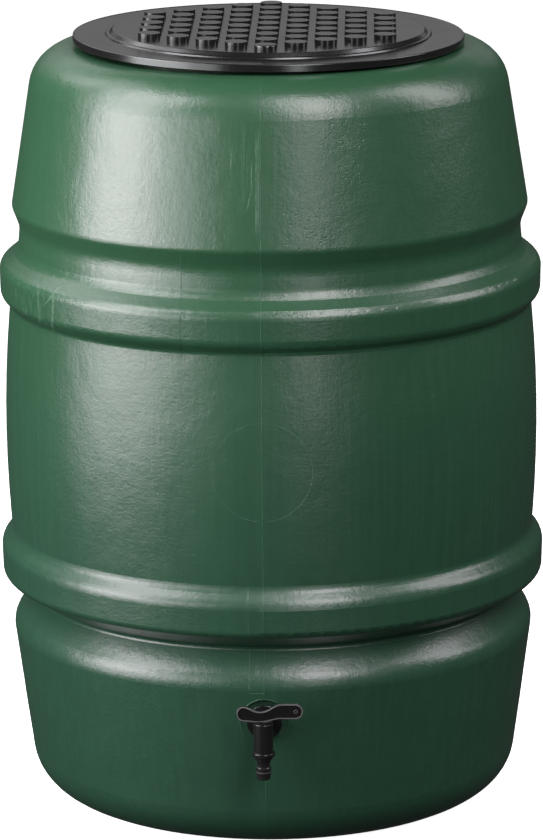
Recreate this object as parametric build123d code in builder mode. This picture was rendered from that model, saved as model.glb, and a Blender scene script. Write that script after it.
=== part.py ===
"""A 227 litre garden rain barrel: blow-moulded shell, loose knobbed lid, and a lever tap near the foot.

Millimetres, +Z up. The origin is the centre of the base, on the floor, and the tap points to -Y.
"""

from build123d import *
import os

# Barrel shell
WALL = 4.0
HOOP_R = 323.4
UPPER_HOOP_R = 319.6
BELLY_R = 320.6
FOOT_R = 283.1
UPPER_GROOVE_R = 294.9
LOWER_GROOVE_R = 283.0
TOP_Z = 897.0
MOUTH_R = 190.0
NECK_R = 194.0
NECK_TOP_Z = 904.6

# Lid
LID_R = 228.8
LID_RIM_Z = 901.0
LID_TOP_Z = 909.6
LID_SKIN = 3.0
LID_TURN = 0.7
LID_TILT = 0.5
PLATEAU_R = 182.0
PLATEAU_RISE = 6.0
PLATEAU_SLOPE = 4.0
BEAD_RISE = 1.6
BEAD_T = 3.5
BEAD_FOOT_T = 5.0
RING_SINK = 0.4
EDGE_T = 2.4
EDGE_FOOT_T = 3.0
SKIRT_R = 188.5
SKIRT_WALL = 2.5
SKIRT_FOOT_Z = 880.0
KNOB_R = 12.9
KNOB_RISE = 5.8
KNOB_SKIN = 2.5
KNOB_PITCH = 39.0
KNOB_ROW_GAP = 34.0
KNOB_MIDDLE_COUNT = 9
KNOB_SIDE_COLUMNS = 4

# Tap: heights are above its inlet axis, depths are outward from its flat seat on the barrel
TAP_Z = 163.0
SEAT_Y = -302.0
SEAT_R = 27.3
SEAT_WALL = 4.5
SEAT_RING = 3.0
TAIL_R = 13.2
TAIL_HOLE_R = 13.5
TAIL_BORE_R = 9.0
TAIL_END = -19.0
THREAD_PITCH = 1.8
THREAD_DEPTH = 1.0
THREAD_CLEAR = 0.2
THREAD_TURNS = 5
WASHER_R = 19.5
WASHER_T = 2.5
FLANGE_R = 20.2
FLANGE_T = 3.0
NECK_TUBE_R = 9.5
INLET_R = 5.5
VALVE_REACH = 42.0
VALVE_R = 11.2
VALVE_TOP = 11.2
CHAMBER_R = 8.2
LIP_R = 6.9
LIP_TOP = -15.0
LIP_FOOT = -17.0
COLLAR_R = 13.3
COLLAR_TOP = -23.3
COLLAR_FOOT = -27.2
SOCKET_R = 8.6
NUT_FLATS = 36.0
NUT_T = 9.0

# Lever and its plug
RUNNING_GAP = 0.05
LIFT_GAP = 0.5
PADDLE_T = 5.0
PADDLE_RIM = 1.5
PADDLE_SINK = 0.8
DIMPLE_R = 2.4
DIMPLE_HOLE_R = 1.4
HUB_R = 9.4
HUB_T = 1.6
PLUG_NECK_R = 6.8
PLUG_BORE_R = 4.6
PLUG_FOOT = -21.0
WINDOW_R = 4.4
SEAL_HEIGHT = 8.4
SEAL_RADIUS = 0.72
SEAL_GROOVE_R = 6.7
SEAL_GROOVE_PLAY = 0.3
SEAL_GAP = 0.04
CLIP_GROOVE_R = 5.9
CLIP_T = 1.3
CLIP_R = 8.2
CLIP_OPENING = 7.0
CLIP_GAP = 0.3

# Hose adaptor
ADAPTOR_TOP = -22.0
ADAPTOR_FOOT = -55.2
ADAPTOR_BORE_R = 4.6
ADAPTOR_WASHER_R = 10.4
ADAPTOR_WASHER_T = 1.0
NIPPLE_R = 8.7
NIPPLE_GROOVE_R = 6.5
NIPPLE_SEAL_Z = -46.6
NIPPLE_SEAL_RADIUS = 1.1

seat_plane = Plane(origin=(0, SEAT_Y, TAP_Z), x_dir=(1, 0, 0), z_dir=(0, -1, 0))
valve_y = SEAT_Y - VALVE_REACH
valve_plane = Plane((0, valve_y, TAP_Z))
valve_axis = Axis((0, valve_y, TAP_Z), (0, 0, 1))
# Upright plane through the valve's axis: x is to the right or the radius, y is the height above the inlet.
lever_plane = Plane(origin=(0, valve_y, TAP_Z), x_dir=(1, 0, 0), z_dir=(0, -1, 0))

# Corners of the barrel's outer section as (radius, height, rounding), from the foot up.
barrel_corners = [
    (FOOT_R, 0, 58),
    (297.6, 106.4, 800),
    (311.2, 211.5, 26),
    (LOWER_GROOVE_R, 245, 4),
    (HOOP_R - 1, 268.5, 10),
    (HOOP_R, 306, 17),
    (310.6, 320.5, 12),
    (BELLY_R, 457, 1500),
    (308, 595, 6),
    (UPPER_HOOP_R - 0.6, 606.5, 14),
    (UPPER_HOOP_R, 641.3, 14),
    (297.4, 659, 16),
    (UPPER_GROOVE_R, 687, 30),
    (303.9, 710.6, 12),
    (273.9, TOP_Z, 50),
]

# Corners of the paddle's outline as (x, height, rounding): the short lobe, the waist and the long arm
paddle_corners = [
    (-30.2, 30.8, 7.8),
    (-20.4, 30.8, 8),
    (-2.3, 22.6, 19),
    (17.1, 34.0, 12),
    (45.2, 34.0, 8.7),
    (45.2, 16.4, 8.7),
    (16.9, 16.4, 15),
    (-3.0, 11.7, 35),
    (-30.2, 14.4, 7.6),
]
dimple_point = (36.8, 25.2)

# The hose adaptor's outline below the tap as (radius, height): flange, waist, ring, seal groove and tip
adaptor_corners = [
    (10.8, -28.6),
    (10.8, -30.6),
    (10.3, -31.1),
    (8.6, -31.1),
    (8.6, -33.1),
    (7.7, -33.8),
    (7.4, -37.5),
    (7.5, -40.2),
    (NIPPLE_R, -41.2),
    (NIPPLE_R, -45.3),
    (NIPPLE_GROOVE_R, -45.3),
    (NIPPLE_GROOVE_R, -47.9),
    (8.5, -47.9),
    (8.5, -50.4),
    (8.0, -50.9),
    (8.0, -54.2),
    (7.2, ADAPTOR_FOOT),
    (ADAPTOR_BORE_R, ADAPTOR_FOOT),
]


def tube_step(plane, start, end, radius, mode=Mode.ADD):
    """A round step along the plane's normal, from one distance to another."""
    with BuildSketch(plane.offset(start)) as step:
        Circle(radius)
    extrude(step.sketch, amount=end - start, mode=mode)


def ring_step(plane, start, end, outer, inner):
    """A flat ring along the plane's normal."""
    with BuildSketch(plane.offset(start)) as ring:
        Circle(outer)
        Circle(inner, mode=Mode.SUBTRACT)
    extrude(ring.sketch, amount=end - start)


def o_ring(height, middle_radius, section_radius):
    """A rubber ring round the valve axis."""
    with BuildSketch(lever_plane) as section:
        with Locations((middle_radius, height)):
            Circle(section_radius)
    revolve(section.sketch, axis=valve_axis)


def barrel_section(inset):
    """The barrel's half-section, filled to the axis, drawn in by the wall thickness or not at all."""
    points = [(0, 0)] + [(radius, height) for radius, height, _ in barrel_corners] + [(0, TOP_Z)]
    roundings = [rounding for _, _, rounding in barrel_corners]
    with BuildSketch(Plane.XZ) as section:
        with BuildLine():
            right = FilletPolyline(points, radius=roundings)
            mirror(right, about=Plane.YZ)
        make_face()
        if inset:
            offset(amount=-inset, mode=Mode.REPLACE)
        with Locations((-HOOP_R, TOP_Z / 2)):
            Rectangle(2 * HOOP_R, 2 * TOP_Z, mode=Mode.SUBTRACT)
    return section.sketch


def paddle_outline(plane, inset):
    """The lever's paddle seen from the front, drawn in by the rim's width or not at all."""
    with BuildSketch(plane) as outline:
        with BuildLine():
            FilletPolyline(
                [(x, height) for x, height, _ in paddle_corners],
                radius=[rounding for _, _, rounding in paddle_corners],
                close=True,
            )
        make_face()
        if inset:
            offset(amount=-inset, mode=Mode.REPLACE)
    return outline.sketch


# The space inside the shell, less the thickened boss behind the tap's seat
with BuildPart() as cavity:
    revolve(barrel_section(WALL), axis=Axis.Z)
    tube_step(seat_plane, -SEAT_WALL, HOOP_R + SEAT_Y, SEAT_R + SEAT_RING, mode=Mode.SUBTRACT)

with BuildPart() as barrel:
    revolve(barrel_section(0), axis=Axis.Z)
    add(cavity.part, mode=Mode.SUBTRACT)
    tube_step(seat_plane, 0, HOOP_R + SEAT_Y + 1, SEAT_R, mode=Mode.SUBTRACT)
    tube_step(seat_plane, -2 * SEAT_WALL, 1, TAIL_HOLE_R, mode=Mode.SUBTRACT)
    ring_step(Plane.XY, TOP_Z - WALL, NECK_TOP_Z, NECK_R, MOUTH_R)
    tube_step(Plane.XY, TOP_Z - 2 * WALL, NECK_TOP_Z, MOUTH_R, mode=Mode.SUBTRACT)
    fillet(barrel.edges().filter_by(GeomType.CIRCLE).group_by(Axis.Z)[-1], radius=1.2)

# The lid: a bead runs round the plateau's foot, and the ring outside it is a little lower than the lid's edge
plateau_z = LID_TOP_Z + PLATEAU_RISE
bead_r = PLATEAU_R + PLATEAU_SLOPE
plate_foot_z = LID_TOP_Z - LID_SKIN
knob_points = []
for column in range(-KNOB_SIDE_COLUMNS, KNOB_SIDE_COLUMNS + 1):
    count = KNOB_MIDDLE_COUNT - abs(column)
    for row in range(count):
        knob_points.append((column * KNOB_ROW_GAP, (row - (count - 1) / 2) * KNOB_PITCH))

# It lies loose and a little crooked on the neck, so its own frame leans by LID_TILT
lid_seat = Plane((0, 0, plate_foot_z)).rotated((0, LID_TILT, 0)).offset(-plate_foot_z)
lid_axis = Axis(lid_seat.origin, lid_seat.z_dir)
lid_plane = lid_seat.rotated((0, 0, LID_TURN))
with BuildPart() as lid:
    with BuildSketch(Plane(lid_seat.origin, x_dir=lid_seat.x_dir, z_dir=-lid_seat.y_dir)):
        with BuildLine():
            FilletPolyline(
                (0, plateau_z),
                (PLATEAU_R, plateau_z),
                (bead_r, LID_TOP_Z + BEAD_RISE),
                (bead_r + BEAD_T, LID_TOP_Z + BEAD_RISE),
                (bead_r + BEAD_FOOT_T, LID_TOP_Z - RING_SINK),
                (LID_R - EDGE_FOOT_T, LID_TOP_Z - RING_SINK),
                (LID_R - EDGE_T, LID_TOP_Z),
                (LID_R, LID_TOP_Z),
                (LID_R, LID_RIM_Z),
                (LID_R - LID_SKIN, LID_RIM_Z),
                (LID_R - LID_SKIN, plate_foot_z),
                (SKIRT_R, plate_foot_z),
                (SKIRT_R, SKIRT_FOOT_Z),
                (SKIRT_R - SKIRT_WALL, SKIRT_FOOT_Z),
                (SKIRT_R - SKIRT_WALL, plate_foot_z),
                (PLATEAU_R - LID_SKIN, plateau_z - LID_SKIN),
                (0, plateau_z - LID_SKIN),
                radius=[1.5, 0.8, 0.6, 0.5, 0.2, 0.1, 1.2, 0.6, 0.6, 0.8, 0.3, 0.6, 0.6, 1.0, 1.0],
            )
            Line((0, plateau_z), (0, plateau_z - LID_SKIN))
        make_face()
    revolve(axis=lid_axis)
    with BuildSketch(lid_plane.offset(plateau_z - LID_SKIN / 2)):
        with Locations(*knob_points):
            Circle(KNOB_R)
    extrude(amount=KNOB_RISE + LID_SKIN / 2)
    fillet(lid.edges().filter_by(GeomType.CIRCLE).group_by(lid_axis)[-1], radius=1.8)
    with BuildSketch(lid_plane.offset(plateau_z - 2 * LID_SKIN)):
        with Locations(*knob_points):
            Circle(KNOB_R - KNOB_SKIN)
    extrude(amount=2 * LID_SKIN + KNOB_RISE - KNOB_SKIN, mode=Mode.SUBTRACT)

washer_face = WASHER_T
flange_face = washer_face + FLANGE_T

with BuildPart() as outer_washer:
    ring_step(seat_plane, 0, WASHER_T, WASHER_R, TAIL_HOLE_R)

with BuildPart() as inner_washer:
    ring_step(seat_plane, -SEAT_WALL - WASHER_T, -SEAT_WALL, WASHER_R, TAIL_HOLE_R)

nut_start = -SEAT_WALL - WASHER_T - NUT_T
with BuildPart() as backnut:
    with BuildSketch(seat_plane.offset(nut_start)):
        RegularPolygon(NUT_FLATS / 2, 6, major_radius=False)
    extrude(amount=NUT_T)
    fillet(backnut.edges().filter_by(Axis.Y), radius=1.0)
    chamfer(backnut.faces().sort_by(Axis.Y)[-1].edges(), length=0.8)
    tube_step(seat_plane, nut_start - 1, nut_start + NUT_T + 1, TAIL_R + RUNNING_GAP, mode=Mode.SUBTRACT)

# Tail, flange and neck lie along the inlet; the chamber and its outlet collar stand on the valve axis
with BuildPart() as tap_body:
    tube_step(seat_plane, TAIL_END, washer_face, TAIL_R)
    tube_step(seat_plane, washer_face, flange_face, FLANGE_R)
    fillet(tap_body.edges().filter_by(GeomType.CIRCLE).sort_by(Axis.Y)[0], radius=1.0)
    tube_step(seat_plane, flange_face, VALVE_REACH, NECK_TUBE_R)
    tube_step(valve_plane, COLLAR_FOOT, VALVE_TOP, VALVE_R)
    tube_step(valve_plane, COLLAR_FOOT, COLLAR_TOP, COLLAR_R)
    collar_edges = tap_body.edges().filter_by(GeomType.CIRCLE)
    fillet(collar_edges.filter_by(lambda edge: abs(edge.radius - COLLAR_R) < 0.01), radius=0.7)
    fillet(tap_body.faces().sort_by(Axis.Z)[-1].edges(), radius=0.8)
    tube_step(valve_plane, LIP_TOP, VALVE_TOP, CHAMBER_R, mode=Mode.SUBTRACT)
    tube_step(valve_plane, LIP_FOOT, LIP_TOP, LIP_R, mode=Mode.SUBTRACT)
    tube_step(valve_plane, COLLAR_FOOT, LIP_FOOT, SOCKET_R, mode=Mode.SUBTRACT)
    tube_step(seat_plane, TAIL_END, flange_face, TAIL_BORE_R, mode=Mode.SUBTRACT)
    tube_step(seat_plane, flange_face, VALVE_REACH, INLET_R, mode=Mode.SUBTRACT)
    # The thread is drawn as plain vee rings near the tail's end.
    with BuildSketch(Plane.YZ):
        for turn in range(THREAD_TURNS):
            groove_y = SEAT_Y - TAIL_END - THREAD_PITCH * (turn + 1)
            crest_z = TAP_Z + TAIL_R + THREAD_CLEAR
            with BuildLine():
                Polyline(
                    (groove_y - THREAD_PITCH / 2, crest_z),
                    (groove_y + THREAD_PITCH / 2, crest_z),
                    (groove_y, crest_z - THREAD_DEPTH - THREAD_CLEAR),
                    close=True,
                )
            make_face()
    revolve(axis=Axis((0, 0, TAP_Z), (0, 1, 0)), mode=Mode.SUBTRACT)

plug_top = VALVE_TOP + LIFT_GAP
plug_shoulder = LIP_TOP + LIFT_GAP
plug_r = CHAMBER_R - RUNNING_GAP
clip_top = LIP_FOOT - CLIP_GAP

with BuildPart() as tap_lever:
    extrude(paddle_outline(lever_plane, 0), amount=PADDLE_T / 2, both=True)
    fillet(tap_lever.edges().group_by(Axis.Y)[0] + tap_lever.edges().group_by(Axis.Y)[-1], radius=0.4)
    for face_plane in (lever_plane.offset(PADDLE_T / 2), lever_plane.offset(-PADDLE_T / 2 + PADDLE_SINK)):
        extrude(paddle_outline(face_plane, PADDLE_RIM), amount=-PADDLE_SINK, mode=Mode.SUBTRACT)
    with BuildSketch(lever_plane.offset(PADDLE_T / 2 - PADDLE_SINK)):
        with Locations(dimple_point):
            Circle(DIMPLE_R)
            Circle(DIMPLE_HOLE_R, mode=Mode.SUBTRACT)
    extrude(amount=PADDLE_SINK / 2)
    tube_step(valve_plane, plug_top, plug_top + HUB_T, HUB_R)
    tube_step(valve_plane, plug_shoulder, plug_top, plug_r)
    tube_step(valve_plane, PLUG_FOOT, plug_shoulder, PLUG_NECK_R)
    tube_step(valve_plane, PLUG_FOOT, PLUG_BORE_R + 2, PLUG_BORE_R, mode=Mode.SUBTRACT)
    # The window faces -X while the tap is shut, and comes round to the inlet when it is open.
    tube_step(Plane(origin=(0, valve_y, TAP_Z), z_dir=(-1, 0, 0)), 0, CHAMBER_R, WINDOW_R, mode=Mode.SUBTRACT)
    with BuildSketch(lever_plane):
        for height in (SEAL_HEIGHT, -SEAL_HEIGHT):
            with Locations((SEAL_GROOVE_R + 1, height)):
                Rectangle(2, 2 * SEAL_RADIUS + SEAL_GROOVE_PLAY)
        with Locations((CLIP_GROOVE_R + 1, clip_top - CLIP_T / 2)):
            Rectangle(2, CLIP_T + 2 * RUNNING_GAP)
    revolve(axis=valve_axis, mode=Mode.SUBTRACT)

seal_middle_r = CHAMBER_R - SEAL_GAP - SEAL_RADIUS
with BuildPart() as plug_seal_upper:
    o_ring(SEAL_HEIGHT, seal_middle_r, SEAL_RADIUS)

with BuildPart() as plug_seal_lower:
    o_ring(-SEAL_HEIGHT, seal_middle_r, SEAL_RADIUS)

# A snap ring, open on one side so that it can spring over the plug's foot
with BuildPart() as plug_clip:
    with BuildSketch(valve_plane.offset(clip_top - CLIP_T)):
        Circle(CLIP_R)
        Circle(CLIP_GROOVE_R + RUNNING_GAP, mode=Mode.SUBTRACT)
        with Locations((CLIP_R, 0)):
            Rectangle(2 * CLIP_R, CLIP_OPENING, mode=Mode.SUBTRACT)
    extrude(amount=CLIP_T)

adaptor_shoulder = COLLAR_FOOT - ADAPTOR_WASHER_T
with BuildPart() as adaptor_washer:
    ring_step(valve_plane, adaptor_shoulder, COLLAR_FOOT, ADAPTOR_WASHER_R, SOCKET_R)

with BuildPart() as hose_adaptor:
    with BuildSketch(lever_plane):
        with BuildLine():
            Polyline(
                (ADAPTOR_BORE_R, ADAPTOR_TOP),
                (SOCKET_R - RUNNING_GAP, ADAPTOR_TOP),
                (SOCKET_R - RUNNING_GAP, adaptor_shoulder),
                (ADAPTOR_WASHER_R, adaptor_shoulder),
                *adaptor_corners,
                close=True,
            )
        make_face()
    revolve(axis=valve_axis)

with BuildPart() as nipple_seal:
    o_ring(NIPPLE_SEAL_Z, NIPPLE_GROOVE_R + NIPPLE_SEAL_RADIUS, NIPPLE_SEAL_RADIUS)

pieces = {
    "barrel": barrel,
    "lid": lid,
    "tap_body": tap_body,
    "tap_lever": tap_lever,
    "plug_seal_upper": plug_seal_upper,
    "plug_seal_lower": plug_seal_lower,
    "plug_clip": plug_clip,
    "outer_washer": outer_washer,
    "inner_washer": inner_washer,
    "backnut": backnut,
    "hose_adaptor": hose_adaptor,
    "adaptor_washer": adaptor_washer,
    "nipple_seal": nipple_seal,
}

os.makedirs("parts", exist_ok=True)
for name, piece in pieces.items():
    piece.part.label = name
    export_step(piece.part, f"parts/{name}.step")
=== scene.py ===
"""The looks of the rain barrel: plastics, mould marks, floor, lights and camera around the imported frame."""

import math

import bpy
from mathutils import Matrix, Vector
from mathutils.bvhtree import BVHTree


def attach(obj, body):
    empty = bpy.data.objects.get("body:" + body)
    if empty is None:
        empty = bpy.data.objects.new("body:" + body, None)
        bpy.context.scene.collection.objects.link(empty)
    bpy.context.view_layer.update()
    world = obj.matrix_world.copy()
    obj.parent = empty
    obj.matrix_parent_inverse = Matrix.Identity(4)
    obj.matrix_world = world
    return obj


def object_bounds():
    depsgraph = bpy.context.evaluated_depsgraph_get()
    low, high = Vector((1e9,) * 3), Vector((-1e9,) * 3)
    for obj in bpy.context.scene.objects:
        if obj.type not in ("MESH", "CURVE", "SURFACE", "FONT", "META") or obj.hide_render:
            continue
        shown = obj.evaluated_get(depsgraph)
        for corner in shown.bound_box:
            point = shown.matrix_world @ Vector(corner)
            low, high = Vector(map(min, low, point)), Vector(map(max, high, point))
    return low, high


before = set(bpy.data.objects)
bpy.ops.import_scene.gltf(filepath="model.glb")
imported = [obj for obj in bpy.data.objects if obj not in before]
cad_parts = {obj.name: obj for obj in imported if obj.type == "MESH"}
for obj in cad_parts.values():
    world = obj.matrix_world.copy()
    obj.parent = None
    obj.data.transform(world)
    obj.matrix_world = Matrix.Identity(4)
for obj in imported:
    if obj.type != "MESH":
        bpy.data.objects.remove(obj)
cad_low, cad_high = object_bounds()

# Camera: a long lens, looking a little down and a little from the right of the tap
CAMERA_REACH = 5.44
CAMERA_HEIGHT = 1.7802
CAMERA_AZIMUTH = 2.0
CAMERA_TILT = 76.195
CAMERA_ROLL = -0.45
CAMERA_LENS = 201.46
CAMERA_SENSOR = 36
CAMERA_CLIP_END = 200

# Marks that the mould left on the shell, in metres. The ring round the tap's seat is open below the tap.
RIB_WIDTH = 0.0010
RIB_HEIGHT = 0.00022
RIB_STEP = 0.003
PARTING_FOOT_Z = 0.004
PARTING_TOP_Z = 0.893
PLUG_MARK_R = 0.057
PLUG_MARK_Z = 0.459
SEAT_RING_R = 0.0279
SEAT_RING_DEGREES = 125
TAP_Z = 0.163
INSERT_X = -0.017
INSERT_FOOT_Z = 0.198
INSERT_TOP_Z = 0.323
INSERT_FOOT_POINTS = 6

# The left part of the upper hoop stands a little proud of the rest, up to a step at HOOP_STEP_X
HOOP_STEP_X = -0.0905
HOOP_STEP_HEIGHT = 0.0010
HOOP_STEP_HALF_WIDTH = 0.0007
HOOP_STEP_LINE_Z = (0.602, 0.705)
HOOP_STEP_RAISED_Z = (0.615, 0.670)
HOOP_STEP_FADE = 0.030

# A rib's section as (share of its width, share of its height): it starts a little below the shell's surface
RIB_SECTION = [(-0.5, -0.5), (-0.28, 1.0), (0.28, 1.0), (0.5, -0.5)]

# The tap lever's rim carries a painted highlight and is smooth, from a little before its front to a little
# behind it, with a soft end
RIM_FRONT_Y = -0.3465
RIM_MARGIN = 0.0005
RIM_DEPTH = 0.0003

# Greens of the shell, as (at the foot, near the top): darker at the foot as painted shade and lighter near
# the top as painted light. Then come the greens along drag lines, in scratches and on its ribs
DEEP_GREENS_SHADED_TO_LIT = (0.0095, 0.036, 0.0195, 1.0), (0.0105, 0.043, 0.0190, 1.0)
FRESH_GREENS_SHADED_TO_LIT = (0.0125, 0.044, 0.0245, 1.0), (0.0140, 0.053, 0.0240, 1.0)
DRAG_GREEN = (0.020, 0.065, 0.034, 1.0)
SCRATCH_GREEN = (0.20, 0.31, 0.24, 1.0)
RIB_GREEN = (0.012, 0.046, 0.022, 1.0)
PALE_RIB_GREEN = (0.028, 0.080, 0.045, 1.0)

# The blacks mirror a trace of green, which keeps them neutral under the rosy lights
COOL_MIRROR = (0.88, 1.0, 0.95, 1.0)

# The front's marks fade out where the shell turns to the back, over this much on each side of y = 0
FRONT_FADE = 0.05

# Scratches beside the front parting line, then on the left of the upper hoop, in metres:
# (x, lowest z, highest z, lean, half-width, strength)
SCRATCH_END_FADE = 0.012
scratches = [
    (-0.0330, 0.800, 0.815, 0.02, 0.0008, 0.12),
    (-0.0210, 0.760, 0.850, 0.00, 0.0005, 0.07),
    (-0.0185, 0.760, 0.845, 0.00, 0.0006, 0.10),
    (-0.0150, 0.790, 0.810, 0.00, 0.0005, 0.10),
    (-0.0100, 0.785, 0.802, 0.00, 0.0006, 0.22),
    (-0.0120, 0.766, 0.776, 0.25, 0.0007, 0.20),
    (-0.0052, 0.738, 0.832, 0.00, 0.0005, 0.22),
    (-0.0036, 0.742, 0.830, 0.00, 0.0018, 0.09),
    (-0.0024, 0.738, 0.835, 0.00, 0.0005, 0.16),
    (0.0165, 0.741, 0.830, 0.00, 0.0007, 0.06),
    (-0.2600, 0.608, 0.640, -0.05, 0.0010, 0.16),
    (-0.2575, 0.606, 0.622, 0.02, 0.0006, 0.12),
    (-0.2420, 0.604, 0.634, 0.06, 0.0012, 0.20),
    (-0.2445, 0.632, 0.642, 0.80, 0.0010, 0.16),
]

# Patches of the front, as (lowest x, highest x), (lowest z, highest z): a scuffed one on the left of the
# upper hoop, then those with small pits
PATCH_FADE_Z = 0.010
SCUFF_FADE_X = 0.030
SCUFF_STRENGTH = 0.10
SCUFF_PATCH = (-0.280, -0.235), (0.604, 0.640)
PIT_FADE_X = 0.012
pitted_patches = [
    ((0.030, 0.085), (0.713, 0.752)),
    ((0.076, 0.112), (0.825, 0.846)),
    ((0.088, 0.108), (0.788, 0.806)),
]

# Floor and surroundings
FLOOR_SIZE = 60
FLOOR_GLOW = 0.94
AMBIENT = 0.035

# Softboxes: (name, azimuth from the front, distance, height of its middle, width, height, power, colour).
# Those that light the front lean towards magenta, so that the shell's highlights come out neutral and not
# green. The dim panel behind the barrel greys the flats of the lid. All of them face LIGHT_AIM.
LIGHT_AIM = Vector((0, 0, 0.5))
WHITE = (1.0, 1.0, 1.0)
ROSE = (1.0, 0.91, 0.97)
softboxes = [
    ("key_left", -63, 2.4, 0.55, 1.6, 1.2, 52, ROSE),
    ("key_left_upper", -66, 1.7, 1.6, 1.2, 2.0, 88, ROSE),
    ("key_soft", -36, 2.6, 0.95, 0.9, 1.4, 20, ROSE),
    ("key_right", 26, 3.6, 4.1, 1.4, 4.0, 285, ROSE),
    ("fill_right", 18, 3.2, 1.3, 0.5, 2.6, 23, ROSE),
    ("side_right", 92, 2.6, 2.4, 1.2, 2.4, 70, ROSE),
    ("side_left", -115, 2.2, 2.8, 1.1, 1.6, 22, ROSE),
    ("rim_back", 217, 2.2, 2.2, 2.0, 0.8, 6, WHITE),
    ("backdrop_glow", 184, 2.4, 1.6, 3.2, 0.9, 3.2, WHITE),
]


class Plastic:
    """A node material. Its coordinates are the row frame's own, in metres, and each method adds one step."""

    def __init__(self, name):
        self.material = bpy.data.materials.new(name)
        self.material.use_nodes = True
        self.nodes = self.material.node_tree.nodes
        self.links = self.material.node_tree.links
        self.shader = self.nodes["Principled BSDF"]
        self.place = self.nodes.new("ShaderNodeTexCoord").outputs["Object"]
        split = self.nodes.new("ShaderNodeSeparateXYZ")
        self.links.new(self.place, split.inputs[0])
        self.x, self.y, self.z = split.outputs

    def feed(self, socket, value):
        if isinstance(value, bpy.types.NodeSocket):
            self.links.new(value, socket)
        else:
            socket.default_value = value

    def math(self, operation, first, second=0.0):
        node = self.nodes.new("ShaderNodeMath")
        node.operation = operation
        self.feed(node.inputs[0], first)
        self.feed(node.inputs[1], second)
        return node.outputs[0]

    def product(self, *values):
        result = values[0]
        for value in values[1:]:
            result = self.math("MULTIPLY", result, value)
        return result

    def rise(self, value, start, end):
        """0 below start, 1 above end, and smooth between them. Start may be the higher one."""
        node = self.nodes.new("ShaderNodeMapRange")
        node.interpolation_type = "SMOOTHSTEP"
        self.feed(node.inputs["Value"], value)
        node.inputs["From Min"].default_value = start
        node.inputs["From Max"].default_value = end
        return node.outputs["Result"]

    def between(self, value, low, high, edge):
        """1 from low to high, and falling smoothly to 0 over an edge on each side."""
        return self.product(self.rise(value, low - edge, low), self.rise(value, high + edge, high))

    def patch(self, x_range, z_range, fade_x):
        """1 in a rectangle of x and z, and falling smoothly to 0 around it."""
        across = self.between(self.x, *x_range, fade_x)
        return self.product(across, self.between(self.z, *z_range, PATCH_FADE_Z))

    def stretched(self, x, y, z):
        """The place, scaled by a different amount along each axis."""
        node = self.nodes.new("ShaderNodeMapping")
        self.links.new(self.place, node.inputs["Vector"])
        node.inputs["Scale"].default_value = (x, y, z)
        return node.outputs[0]

    def noise(self, place, scale, detail=3.0, roughness=0.5):
        node = self.nodes.new("ShaderNodeTexNoise")
        self.links.new(place, node.inputs["Vector"])
        node.inputs["Scale"].default_value = scale
        node.inputs["Detail"].default_value = detail
        node.inputs["Roughness"].default_value = roughness
        return node.outputs["Fac"]

    def pits(self, place, scale, size):
        """1 in the middle of each cell of a random pattern, and 0 beyond a distance of size from it."""
        node = self.nodes.new("ShaderNodeTexVoronoi")
        self.links.new(place, node.inputs["Vector"])
        node.inputs["Scale"].default_value = scale
        return self.rise(node.outputs["Distance"], size, 0.0)

    def mix(self, share, first, second):
        node = self.nodes.new("ShaderNodeMix")
        node.data_type = "RGBA"
        self.feed(node.inputs[0], share)
        self.feed(node.inputs[6], first)
        self.feed(node.inputs[7], second)
        return node.outputs[2]

    def bump(self, height, distance):
        """Adds relief, with distance the height in metres that a value of 1 stands for."""
        node = self.nodes.new("ShaderNodeBump")
        node.inputs["Strength"].default_value = 1.0
        node.inputs["Distance"].default_value = distance
        self.links.new(height, node.inputs["Height"])
        socket = self.shader.inputs["Normal"]
        if socket.is_linked:
            self.links.new(socket.links[0].from_socket, node.inputs["Normal"])
        self.links.new(node.outputs["Normal"], socket)

    def colour(self, value):
        self.feed(self.shader.inputs["Base Color"], value)

    def roughness(self, low, high, share):
        node = self.nodes.new("ShaderNodeMapRange")
        self.feed(node.inputs["Value"], share)
        node.inputs["To Min"].default_value = low
        node.inputs["To Max"].default_value = high
        self.links.new(node.outputs["Result"], self.shader.inputs["Roughness"])


def grey(value, warmth=0.0):
    """A grey, or with some warmth a yellowish one."""
    return (value + warmth, value, value - warmth, 1.0)


def shell_marks(m, front, drag, scuffs):
    """How much each place on the shell is scuffed or scratched, from 0 to 1."""
    marks = m.product(scuffs, m.rise(drag, 0.5, 0.7), SCUFF_STRENGTH)
    patchy = m.noise(m.stretched(1.0, 1.0, 0.3), scale=500.0, detail=3.0, roughness=0.6)
    unbroken = m.rise(patchy, 0.30, 0.60)
    for x, low, high, lean, half_width, strength in scratches:
        slope = m.product(m.math("SUBTRACT", m.z, (low + high) / 2), lean)
        off = m.math("ABSOLUTE", m.math("SUBTRACT", m.math("SUBTRACT", m.x, x), slope))
        along = m.between(m.z, low, high, SCRATCH_END_FADE)
        line = m.product(m.rise(off, 1.5 * half_width, 0.5 * half_width), along, front)
        marks = m.math("MAXIMUM", marks, m.product(line, unbroken, strength))
    streaks = m.noise(m.stretched(1.0, 1.0, 0.25), scale=260.0, detail=4.0, roughness=0.7)
    hoop_side = m.product(m.patch(*SCUFF_PATCH, SCUFF_FADE_X), front)
    return m.math("MAXIMUM", marks, m.product(hoop_side, m.rise(streaks, 0.50, 0.70), SCUFF_STRENGTH))


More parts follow.
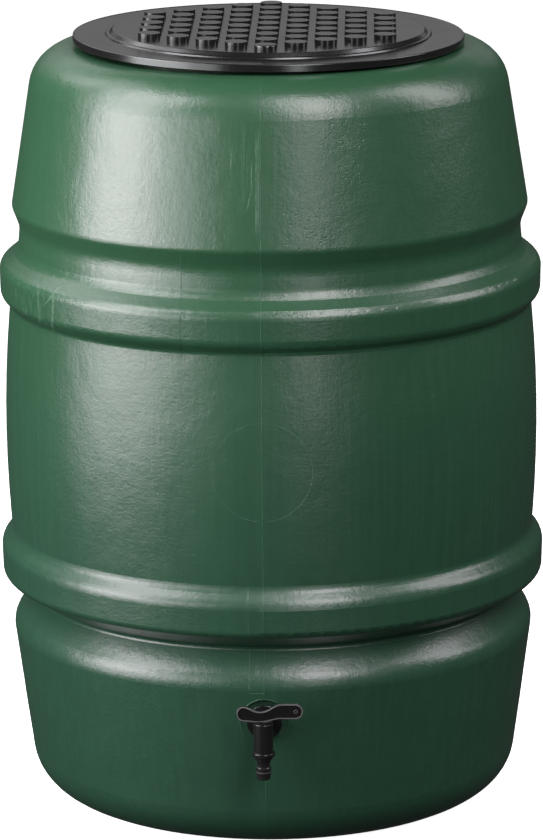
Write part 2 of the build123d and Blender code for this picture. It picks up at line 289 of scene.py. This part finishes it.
def shell_plastic():
    """Blow-moulded shell: soft gloss, leathery skin, drag lines down it, fine rings, pits and scratches."""
    m = Plastic("shell_green")
    front = m.rise(m.y, FRONT_FADE, -FRONT_FADE)
    clouds = m.noise(m.place, scale=4.0, detail=4.0, roughness=0.6)
    drag = m.noise(m.stretched(1.0, 1.0, 0.012), scale=160.0, detail=4.0, roughness=0.65)
    rings = m.noise(m.stretched(0.02, 0.02, 1.0), scale=380.0, detail=3.0, roughness=0.6)
    peel = m.noise(m.place, scale=160.0, detail=2.0, roughness=0.5)
    ripple = m.noise(m.stretched(0.4, 0.4, 1.0), scale=330.0, detail=2.0, roughness=0.5)
    leather = m.noise(m.place, scale=430.0, detail=3.0, roughness=0.6)
    grain = m.noise(m.place, scale=900.0, detail=2.0, roughness=0.5)
    scuffs = m.rise(m.noise(m.place, scale=35.0, detail=6.0, roughness=0.75), 0.6, 0.75)

    # Painted light and shade: the greens are mixed by height, lighter near the top and darker at the foot
    upper = m.rise(m.z, 0.2, 0.8)
    green = m.mix(clouds, m.mix(upper, *DEEP_GREENS_SHADED_TO_LIT), m.mix(upper, *FRESH_GREENS_SHADED_TO_LIT))
    green = m.mix(m.product(m.rise(drag, 0.35, 0.75), 0.25), green, DRAG_GREEN)
    m.colour(m.mix(shell_marks(m, front, drag, scuffs), green, SCRATCH_GREEN))
    m.roughness(0.29, 0.38, m.math("ADD", m.product(clouds, 0.5), m.product(scuffs, 0.5)))

    pitted = 0.0
    for x_range, z_range in pitted_patches:
        pitted = m.math("MAXIMUM", pitted, m.product(m.patch(x_range, z_range, PIT_FADE_X), front))
    step = m.rise(m.x, HOOP_STEP_X + HOOP_STEP_HALF_WIDTH, HOOP_STEP_X - HOOP_STEP_HALF_WIDTH)
    raised = m.between(m.z, *HOOP_STEP_RAISED_Z, HOOP_STEP_FADE)
    relief = [
        (clouds, 0.004),
        (peel, 0.00024),
        (ripple, 0.00012),
        (drag, 0.00018),
        (rings, 0.00007),
        (leather, 0.00018),
        (m.product(m.pits(m.place, scale=420.0, size=0.32), pitted), -0.00030),
        (m.product(m.pits(m.place, scale=170.0, size=0.25), pitted), -0.00050),
        (m.product(step, raised, front), HOOP_STEP_HEIGHT),
        (grain, 0.00001),
    ]
    for pattern, height in relief:
        m.bump(pattern, height)
    return m


def rib_plastic():
    """The shell's own plastic where it stands proud in a thin line: paler and duller in patches."""
    m = Plastic("shell_line")
    pale_patches = m.noise(m.place, scale=60.0, detail=4.0, roughness=0.7)
    m.colour(m.mix(m.rise(pale_patches, 0.35, 0.7), RIB_GREEN, PALE_RIB_GREEN))
    m.roughness(0.32, 0.45, pale_patches)
    m.bump(m.noise(m.place, scale=700.0), 0.00005)
    return m


def black_plastic(name, tones, roughness, grain_scale, grain_depth):
    """Moulded black plastic with a fine grain, faint flow clouds and specks of dust."""
    m = Plastic(name)
    clouds = m.noise(m.place, scale=14.0, detail=5.0, roughness=0.6)
    grain = m.noise(m.place, scale=grain_scale, detail=3.0, roughness=0.55)
    dust = m.rise(m.noise(m.place, scale=300.0, detail=5.0, roughness=0.8), 0.60, 0.78)
    paleness = m.math("MAXIMUM", m.product(clouds, 0.6), m.product(dust, 0.8))
    m.colour(m.mix(paleness, grey(tones[0]), grey(tones[1])))
    m.roughness(*roughness, clouds)
    m.bump(grain, grain_depth)
    m.shader.inputs["Specular Tint"].default_value = COOL_MIRROR
    return m


def lever_plastic():
    """The paddle's rim is smooth and painted paler as a highlight; the sunk web keeps its spark-eroded grain.
    """
    web_tones = (0.003, 0.006)
    # The rim's paler greys are a painted highlight
    rim_highlight_tones = (0.045, 0.085)
    m = black_plastic("lever_black", web_tones, (0.18, 0.26), 1500.0, 0.00002)
    rim = m.between(m.y, RIM_FRONT_Y - RIM_MARGIN, RIM_FRONT_Y + RIM_DEPTH, RIM_DEPTH)
    mottle = m.noise(m.place, scale=90.0, detail=4.0, roughness=0.6)
    web_black = m.mix(mottle, *map(grey, web_tones))
    m.colour(m.mix(rim, web_black, m.mix(mottle, *map(grey, rim_highlight_tones))))
    eroded = m.noise(m.place, scale=1100.0, detail=4.0, roughness=0.7)
    m.bump(m.product(eroded, m.math("SUBTRACT", 1.0, rim)), 0.00012)
    return m


def rubber(name, tone, grain_scale):
    """Dull black rubber with a greyish bloom."""
    m = Plastic(name)
    bloom = m.noise(m.place, scale=120.0, detail=5.0, roughness=0.7)
    m.colour(m.mix(bloom, grey(tone), grey(2.2 * tone, 0.001)))
    m.roughness(0.55, 0.75, bloom)
    m.bump(m.noise(m.place, scale=grain_scale, detail=4.0, roughness=0.6), 0.00004)
    return m


def clip_plastic():
    """Natural acetal, pale and faintly cloudy."""
    m = Plastic("clip_acetal")
    cloud = m.noise(m.place, scale=200.0, detail=4.0, roughness=0.6)
    m.colour(m.mix(cloud, grey(0.42, 0.01), grey(0.55, 0.02)))
    m.roughness(0.35, 0.5, cloud)
    m.bump(m.noise(m.place, scale=1800.0), 0.00002)
    return m


# One finish for each CAD node, with tones and roughness as (low, high), then the grain's scale and its depth
finishes = {
    "barrel": shell_plastic(),
    "lid": black_plastic("lid_black", (0.004, 0.008), (0.17, 0.25), 700.0, 0.00002),
    "tap_body": black_plastic("tap_black", (0.004, 0.007), (0.20, 0.28), 1200.0, 0.00002),
    "tap_lever": lever_plastic(),
    "hose_adaptor": black_plastic("adaptor_black", (0.006, 0.010), (0.16, 0.24), 1200.0, 0.00001),
    "backnut": black_plastic("nut_black", (0.010, 0.018), (0.40, 0.50), 900.0, 0.00004),
    "outer_washer": rubber("washer_rubber", 0.012, 1400.0),
    "inner_washer": rubber("inner_rubber", 0.012, 1400.0),
    "adaptor_washer": rubber("flat_seal_rubber", 0.009, 1600.0),
    "nipple_seal": rubber("nipple_rubber", 0.006, 1800.0),
    "plug_seal_upper": rubber("upper_seal_rubber", 0.006, 1800.0),
    "plug_seal_lower": rubber("lower_seal_rubber", 0.006, 1800.0),
    "plug_clip": clip_plastic(),
}
for node, finish in finishes.items():
    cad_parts[node].data.materials.clear()
    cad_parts[node].data.materials.append(finish.material)

# Thin ribs on the shell: the parting line, the outlines of the mould's inserts and the tap seat's edge
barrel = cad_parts["barrel"]
barrel_points = [vertex.co for vertex in barrel.data.vertices]
barrel_surface = BVHTree.FromPolygons(barrel_points, [face.vertices for face in barrel.data.polygons])
rib_material = rib_plastic().material


def on_shell(x, z, side):
    """The point and the outward normal where a level line at x, z meets the shell from side -1 or 1 of y."""
    point, normal, _, _ = barrel_surface.ray_cast(Vector((x, side, z)), Vector((0, -side, 0)))
    return point, normal


def inside_cad_box(point):
    return Vector(max(low, min(value, high)) for low, value, high in zip(cad_low, point, cad_high))


def add_rib(name, path, side, width=RIB_WIDTH, height=RIB_HEIGHT):
    """A low ridge that follows a path of (x, z) points over the shell."""
    points = [on_shell(x, z, side) for x, z in path]
    corners = []
    for i, (point, normal) in enumerate(points):
        ahead = points[min(i + 1, len(points) - 1)][0]
        behind = points[max(i - 1, 0)][0]
        sideways = normal.cross(ahead - behind).normalized()
        for across, up in RIB_SECTION:
            corners.append(inside_cad_box(point + sideways * across * width + normal * up * height))
    faces = []
    for i in range(len(points) - 1):
        faces += [(4 * i + k, 4 * i + k + 1, 4 * i + k + 5, 4 * i + k + 4) for k in range(3)]
    mesh = bpy.data.meshes.new(name)
    mesh.from_pydata(corners, [], faces)
    mesh.materials.append(rib_material)
    rib = bpy.data.objects.new(name, mesh)
    bpy.context.scene.collection.objects.link(rib)
    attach(rib, "barrel_body")


def upright(x, low, high):
    """A straight line up the shell."""
    count = max(2, round((high - low) / RIB_STEP))
    return [(x, low + (high - low) * i / count) for i in range(count + 1)]


def ring(middle_z, radius, start, end):
    """Part of a circle on the shell, with angles in degrees from straight up."""
    count = max(8, round(radius * math.radians(end - start) / RIB_STEP * 2))
    angles = [math.radians(start + (end - start) * i / count) for i in range(count + 1)]
    return [(radius * math.sin(a), middle_z + radius * math.cos(a)) for a in angles]


add_rib("parting_line_upper", upright(0, TAP_Z + SEAT_RING_R, PARTING_TOP_Z), -1)
add_rib("parting_line_lower", upright(0, PARTING_FOOT_Z, TAP_Z - SEAT_RING_R), -1)
add_rib("parting_line_back", upright(0, PARTING_FOOT_Z, PARTING_TOP_Z), 1)
insert_side = upright(INSERT_X, INSERT_FOOT_Z, INSERT_TOP_Z)
insert_foot = [
    (INSERT_X * (1 - i / INSERT_FOOT_POINTS), INSERT_FOOT_Z) for i in range(1, INSERT_FOOT_POINTS + 1)
]
add_rib("insert_outline_side", insert_side, -1, height=0.5 * RIB_HEIGHT)
add_rib("insert_outline_foot", [insert_side[0], *insert_foot], -1)
add_rib("plug_mark", ring(PLUG_MARK_Z, PLUG_MARK_R, 0, 360), -1, 0.6 * RIB_WIDTH, 0.4 * RIB_HEIGHT)
add_rib("seat_ring", ring(TAP_Z, SEAT_RING_R, -SEAT_RING_DEGREES, SEAT_RING_DEGREES), -1)
add_rib("hoop_step_line", upright(HOOP_STEP_X, *HOOP_STEP_LINE_Z), -1, 0.8 * RIB_WIDTH, 0.6 * RIB_HEIGHT)

# Camera
turn = math.radians(CAMERA_AZIMUTH)
camera = bpy.data.objects.new("camera", bpy.data.cameras.new("camera"))
bpy.context.scene.collection.objects.link(camera)
camera.data.lens = CAMERA_LENS
camera.data.sensor_width = CAMERA_SENSOR
camera.data.clip_end = CAMERA_CLIP_END
camera.matrix_world = (
    Matrix.Translation((CAMERA_REACH * math.sin(turn), -CAMERA_REACH * math.cos(turn), CAMERA_HEIGHT))
    @ Matrix.Rotation(turn, 4, "Z")
    @ Matrix.Rotation(math.radians(CAMERA_TILT), 4, "X")
    @ Matrix.Rotation(math.radians(CAMERA_ROLL), 4, "Z")
)
bpy.context.scene.camera = camera

# Floor: plain and white. It neither lights the barrel nor mirrors in it, so the barrel's foot stays dark.
bpy.ops.mesh.primitive_plane_add(size=FLOOR_SIZE)
floor = bpy.context.object
floor.name = "floor"
floor_material = bpy.data.materials.new("floor_white")
floor_material.use_nodes = True
floor_shader = floor_material.node_tree.nodes["Principled BSDF"]
floor_shader.inputs["Base Color"].default_value = grey(0.8)
floor_shader.inputs["Roughness"].default_value = 0.9
floor_shader.inputs["Emission Color"].default_value = grey(1.0)
floor_shader.inputs["Emission Strength"].default_value = FLOOR_GLOW
floor.data.materials.append(floor_material)
floor.visible_glossy = False
floor.visible_diffuse = False

# Lights
for name, azimuth, distance, height, width, tall, power, colour in softboxes:
    data = bpy.data.lights.new(name, "AREA")
    data.shape = "RECTANGLE"
    data.size = width
    data.size_y = tall
    data.energy = power
    data.color = colour
    light = bpy.data.objects.new(name, data)
    bpy.context.scene.collection.objects.link(light)
    angle = math.radians(azimuth)
    light.location = (distance * math.sin(angle), -distance * math.cos(angle), height)
    light.rotation_euler = (LIGHT_AIM - light.location).to_track_quat("-Z", "Y").to_euler()

# World: white where the camera looks past the floor, dim everywhere else
world = bpy.data.worlds.new("studio")
bpy.context.scene.world = world
world.use_nodes = True
world_nodes = world.node_tree.nodes
world_links = world.node_tree.links
ambient = world_nodes["Background"]
ambient.inputs["Color"].default_value = grey(1.0)
ambient.inputs["Strength"].default_value = AMBIENT
backdrop = world_nodes.new("ShaderNodeBackground")
backdrop.inputs["Color"].default_value = grey(1.0)
seen = world_nodes.new("ShaderNodeLightPath")
choice = world_nodes.new("ShaderNodeMixShader")
world_links.new(seen.outputs["Is Camera Ray"], choice.inputs["Fac"])
world_links.new(ambient.outputs[0], choice.inputs[1])
world_links.new(backdrop.outputs[0], choice.inputs[2])
world_links.new(choice.outputs[0], world_nodes["World Output"].inputs["Surface"])

bpy.context.scene.view_settings.view_transform = "Standard"
